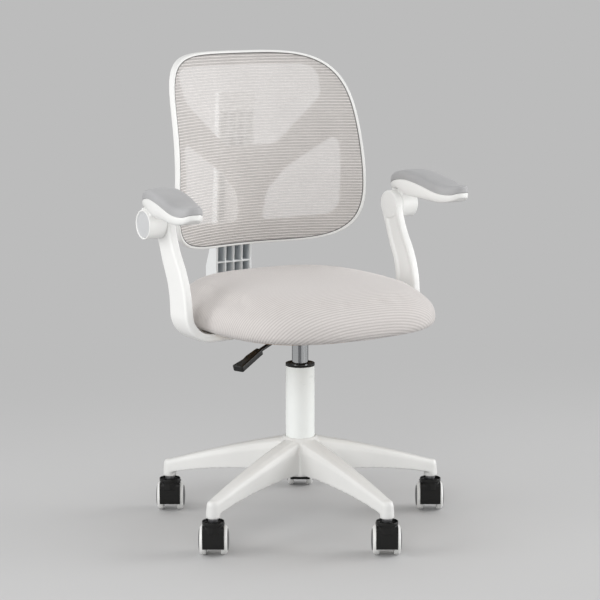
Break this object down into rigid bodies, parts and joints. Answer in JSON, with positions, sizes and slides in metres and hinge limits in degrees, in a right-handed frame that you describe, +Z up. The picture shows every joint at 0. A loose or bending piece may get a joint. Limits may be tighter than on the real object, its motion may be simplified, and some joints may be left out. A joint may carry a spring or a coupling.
{
  "type": "swivel desk chair",
  "caption": "Children's swivel desk chair with a cushioned seat, framed mesh back, flip-up arms, gas lift and castor base.",
  "frame": {"origin": "on the floor under the gas lift's axis", "axes": "+Z up along the gas lift, -Y towards the chair's front, +X towards the chair's left arm as a sitter sees it"},
  "size_m": [0.5772, 0.5173, 0.8062],
  "materials": {
    "white_plastic": "satin white moulding",
    "white_paint": "white powder coat",
    "black_plastic": "satin black moulding",
    "chrome": "bright chrome",
    "dark_steel": "dark oxide",
    "black_paint": "black powder coat",
    "seat_fabric": "fine ribbed warm grey weave over foam",
    "mesh_fabric": "open warm grey mesh",
    "pad_grey": "matt soft grey pad",
    "cap_grey": "matt grey",
    "plywood": "raw board",
    "wheel_plastic": "satin white"
  },
  "bodies": {
    "base": {"star_base": "white_plastic", "column_tube": "white_paint", "column_bush": "black_plastic", "thrust_bearing": "dark_steel", "caster_stem_1": "dark_steel", "caster_stem_2": "dark_steel", "caster_stem_3": "dark_steel", "caster_stem_4": "dark_steel", "caster_stem_5": "dark_steel"},
    "spindle": {"piston_rod": "chrome", "column_clip": "dark_steel"},
    "seat": {"lift_cylinder": "chrome", "mechanism_plate": "black_paint", "flange_bolt_1": "dark_steel", "flange_bolt_2": "dark_steel", "flange_bolt_3": "dark_steel", "flange_bolt_4": "dark_steel", "seat_board": "plywood", "seat_cushion": "seat_fabric", "back_bar": "white_plastic", "back_frame": "white_plastic", "back_mesh": "mesh_fabric", "arm_post_left": "white_plastic", "arm_post_right": "white_plastic", "pivot_bolt_left": "dark_steel", "pivot_bolt_right": "dark_steel", "arm_bolt_left_1": "dark_steel", "arm_bolt_left_2": "dark_steel", "arm_bolt_right_1": "dark_steel", "arm_bolt_right_2": "dark_steel"},
    "lever": {"lever_rod": "dark_steel", "lever_paddle": "black_plastic"},
    "valve": {"valve_button": "dark_steel"},
    "armrest_left": {"armrest_body_left": "white_plastic", "armrest_pad_left": "pad_grey", "pivot_cap_left": "cap_grey"},
    "armrest_right": {"armrest_body_right": "white_plastic", "armrest_pad_right": "pad_grey", "pivot_cap_right": "cap_grey"},
    "caster_1": {"caster_hood_1": "black_plastic", "caster_axle_1": "dark_steel"},
    "wheel_1_left": {"caster_wheel_1_left": "wheel_plastic"},
    "wheel_1_right": {"caster_wheel_1_right": "wheel_plastic"},
    "caster_2": {"caster_hood_2": "black_plastic", "caster_axle_2": "dark_steel"},
    "wheel_2_left": {"caster_wheel_2_left": "wheel_plastic"},
    "wheel_2_right": {"caster_wheel_2_right": "wheel_plastic"},
    "caster_3": {"caster_hood_3": "black_plastic", "caster_axle_3": "dark_steel"},
    "wheel_3_left": {"caster_wheel_3_left": "wheel_plastic"},
    "wheel_3_right": {"caster_wheel_3_right": "wheel_plastic"},
    "caster_4": {"caster_hood_4": "black_plastic", "caster_axle_4": "dark_steel"},
    "wheel_4_left": {"caster_wheel_4_left": "wheel_plastic"},
    "wheel_4_right": {"caster_wheel_4_right": "wheel_plastic"},
    "caster_5": {"caster_hood_5": "black_plastic", "caster_axle_5": "dark_steel"},
    "wheel_5_left": {"caster_wheel_5_left": "wheel_plastic"},
    "wheel_5_right": {"caster_wheel_5_right": "wheel_plastic"}
  },
  "joints": [
    {"name": "seat_swivel", "type": "hinge", "parent": "base", "child": "spindle", "pos_m": [0, 0, 0.15799], "axis": [0, 0, 1], "continuous": true},
    {"name": "seat_lift", "type": "slide", "parent": "spindle", "child": "seat", "axis": [0, 0, 1], "range_m": [-0.028, 0.072]},
    {"name": "lever_lift", "type": "hinge", "parent": "seat", "child": "lever", "pos_m": [-0.02826, -0.01006, 0.34109], "axis": [-0.3355, 0.9421, 0], "range_deg": [0, 8], "stiffness_Nm_per_rad": 0.6, "springref_deg": -6.88},
    {"name": "valve_press", "type": "slide", "parent": "seat", "child": "valve", "axis": [0, 0, 1], "range_m": [-0.0048, 0]},
    {"name": "armrest_flip_left", "type": "hinge", "parent": "seat", "child": "armrest_left", "pos_m": [0, 0.057, 0.53629], "axis": [-1, 0, 0], "range_deg": [0, 90]},
    {"name": "armrest_flip_right", "type": "hinge", "parent": "seat", "child": "armrest_right", "pos_m": [0, 0.057, 0.53629], "axis": [-1, 0, 0], "range_deg": [0, 90]},
    {"name": "caster_swivel_1", "type": "hinge", "parent": "base", "child": "caster_1", "pos_m": [0.01266, -0.24167, 0.055], "axis": [0, 0, 1], "continuous": true},
    {"name": "wheel_spin_1_left", "type": "hinge", "parent": "caster_1", "child": "wheel_1_left", "pos_m": [0.02083, -0.22909, 0.02489], "axis": [0.8387, -0.5446, 0], "continuous": true},
    {"name": "wheel_spin_1_right", "type": "hinge", "parent": "caster_1", "child": "wheel_1_right", "pos_m": [0.02083, -0.22909, 0.02489], "axis": [0.8387, -0.5446, 0], "continuous": true},
    {"name": "caster_swivel_2", "type": "hinge", "parent": "base", "child": "caster_2", "pos_m": [0.23375, -0.06263, 0.055], "axis": [0, 0, 1], "continuous": true},
    {"name": "wheel_spin_2_left", "type": "hinge", "parent": "caster_2", "child": "wheel_2_left", "pos_m": [0.24192, -0.05005, 0.02489], "axis": [0.8387, -0.5446, 0], "continuous": true},
    {"name": "wheel_spin_2_right", "type": "hinge", "parent": "caster_2", "child": "wheel_2_right", "pos_m": [0.24192, -0.05005, 0.02489], "axis": [0.8387, -0.5446, 0], "continuous": true},
    {"name": "caster_swivel_3", "type": "hinge", "parent": "base", "child": "caster_3", "pos_m": [0.1318, 0.20296, 0.055], "axis": [0, 0, 1], "continuous": true},
    {"name": "wheel_spin_3_left", "type": "hinge", "parent": "caster_3", "child": "wheel_3_left", "pos_m": [0.13997, 0.21554, 0.02489], "axis": [0.8387, -0.5446, 0], "continuous": true},
    {"name": "wheel_spin_3_right", "type": "hinge", "parent": "caster_3", "child": "wheel_3_right", "pos_m": [0.13997, 0.21554, 0.02489], "axis": [0.8387, -0.5446, 0], "continuous": true},
    {"name": "caster_swivel_4", "type": "hinge", "parent": "base", "child": "caster_4", "pos_m": [-0.1523, 0.18807, 0.055], "axis": [0, 0, 1], "continuous": true},
    {"name": "wheel_spin_4_left", "type": "hinge", "parent": "caster_4", "child": "wheel_4_left", "pos_m": [-0.14413, 0.20065, 0.02489], "axis": [0.8387, -0.5446, 0], "continuous": true},
    {"name": "wheel_spin_4_right", "type": "hinge", "parent": "caster_4", "child": "wheel_4_right", "pos_m": [-0.14413, 0.20065, 0.02489], "axis": [0.8387, -0.5446, 0], "continuous": true},
    {"name": "caster_swivel_5", "type": "hinge", "parent": "base", "child": "caster_5", "pos_m": [-0.22593, -0.08672, 0.055], "axis": [0, 0, 1], "continuous": true},
    {"name": "wheel_spin_5_left", "type": "hinge", "parent": "caster_5", "child": "wheel_5_left", "pos_m": [-0.21776, -0.07415, 0.02489], "axis": [0.8387, -0.5446, 0], "continuous": true},
    {"name": "wheel_spin_5_right", "type": "hinge", "parent": "caster_5", "child": "wheel_5_right", "pos_m": [-0.21776, -0.07415, 0.02489], "axis": [0.8387, -0.5446, 0], "continuous": true}
  ],
  "couplings": [
    {"joint": "valve_press", "follows": "lever_lift", "m_per_rad": -0.033}
  ]
}
